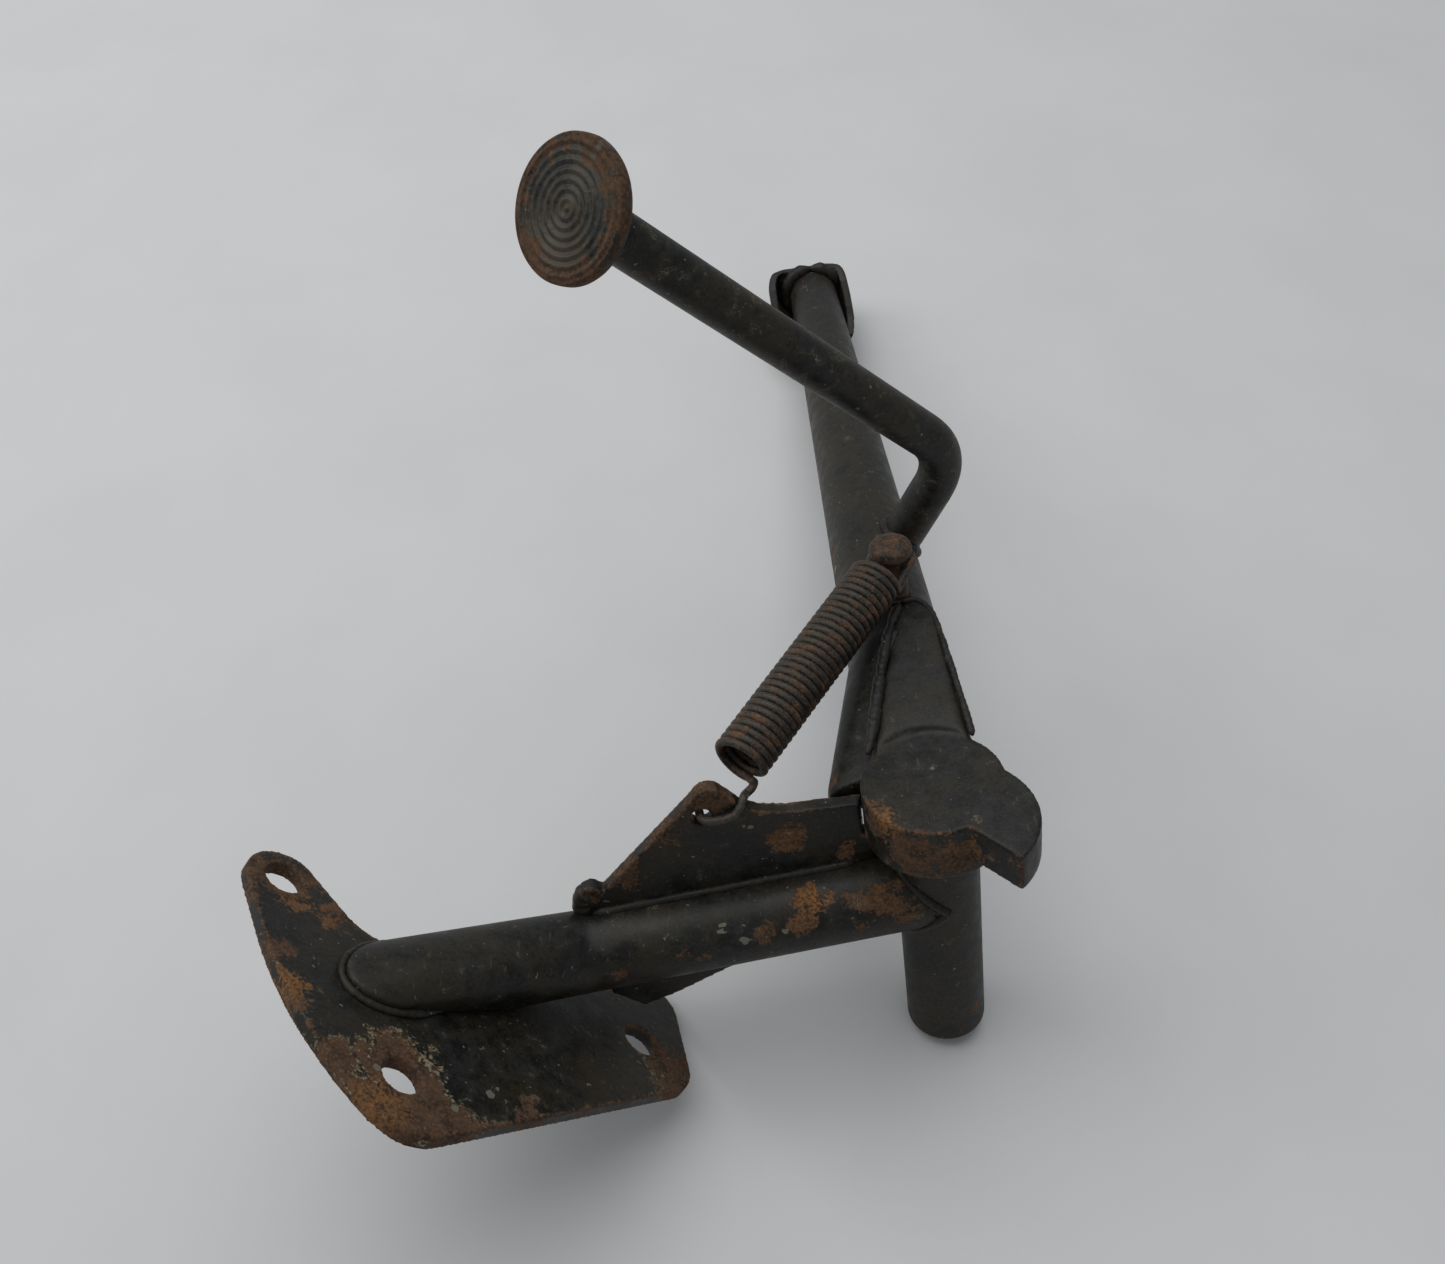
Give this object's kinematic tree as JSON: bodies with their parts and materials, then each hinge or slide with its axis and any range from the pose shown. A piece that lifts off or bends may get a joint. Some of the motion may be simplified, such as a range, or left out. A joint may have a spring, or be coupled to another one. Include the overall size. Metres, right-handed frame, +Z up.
{
  "type": "motorcycle side stand",
  "caption": "Welded side stand: bolt-on bracket plate and tube, pivot barrel, swinging leg with a foot, bent kick rod with a round pad, and a tension spring.",
  "frame": {"origin": "on the surface that the stand lies on, under the centre of its bounding box, with the leg folded", "axes": "+Z up from the surface; +Y close to the direction from the pivot to the foot; +X completes a right-handed frame, so the mounting plate is on the -X side"},
  "size_m": [0.2024, 0.397, 0.2256],
  "materials": {
    "black_paint": "satin black paint, worn and grimy",
    "rusted_paint": "satin black paint with rust breaking through",
    "rusted_steel": "bare steel, brown with rust",
    "bare_steel": "greased bare steel",
    "bush_bronze": "sintered bronze"
  },
  "bodies": {
    "bracket": {"mount_plate": "rusted_paint", "bracket_tube": "black_paint", "tube_end_flare": "black_paint", "plate_gusset": "black_paint", "spring_anchor_plate": "rusted_paint", "pivot_barrel": "black_paint", "upper_bush": "bush_bronze", "lower_bush": "bush_bronze", "thrust_washer": "bare_steel"},
    "leg": {"pivot_head": "rusted_paint", "head_tongue": "black_paint", "pivot_pin": "bare_steel", "retaining_washer": "bare_steel", "circlip": "bare_steel", "leg_tube": "black_paint", "foot_shoe": "black_paint", "kick_rod": "black_paint", "kick_pad": "rusted_paint", "spring_stud": "rusted_steel", "stud_head": "rusted_steel"},
    "spring_lower": {"spring_coils": "rusted_steel", "spring_lower_hook": "rusted_steel"},
    "spring_upper": {"spring_upper_hook": "rusted_steel"}
  },
  "joints": [
    {"name": "leg_pivot", "type": "hinge", "parent": "bracket", "child": "leg", "pos_m": [0.07693, -0.12179, 0.07895], "axis": [-0.1089, 0.221, 0.9692], "range_deg": [-115, 0]},
    {"name": "spring_swing", "type": "hinge", "parent": "bracket", "child": "spring_lower", "pos_m": [0.01543, -0.11779, 0.08711], "axis": [-0.1089, 0.221, 0.9692], "range_deg": [-63.75, 0], "deforming": ["spring_lower_hook"]},
    {"name": "spring_stretch", "type": "slide", "parent": "spring_lower", "child": "spring_upper", "axis": [0.6625, 0.7431, -0.095], "range_m": [0, 0.03543], "deforming": ["spring_coils", "spring_upper_hook"]}
  ],
  "couplings": [
    {"joint": "spring_swing", "follows": "leg_pivot", "ratio": 0.55424},
    {"joint": "spring_stretch", "follows": "leg_pivot", "m_per_rad": -0.017646}
  ]
}
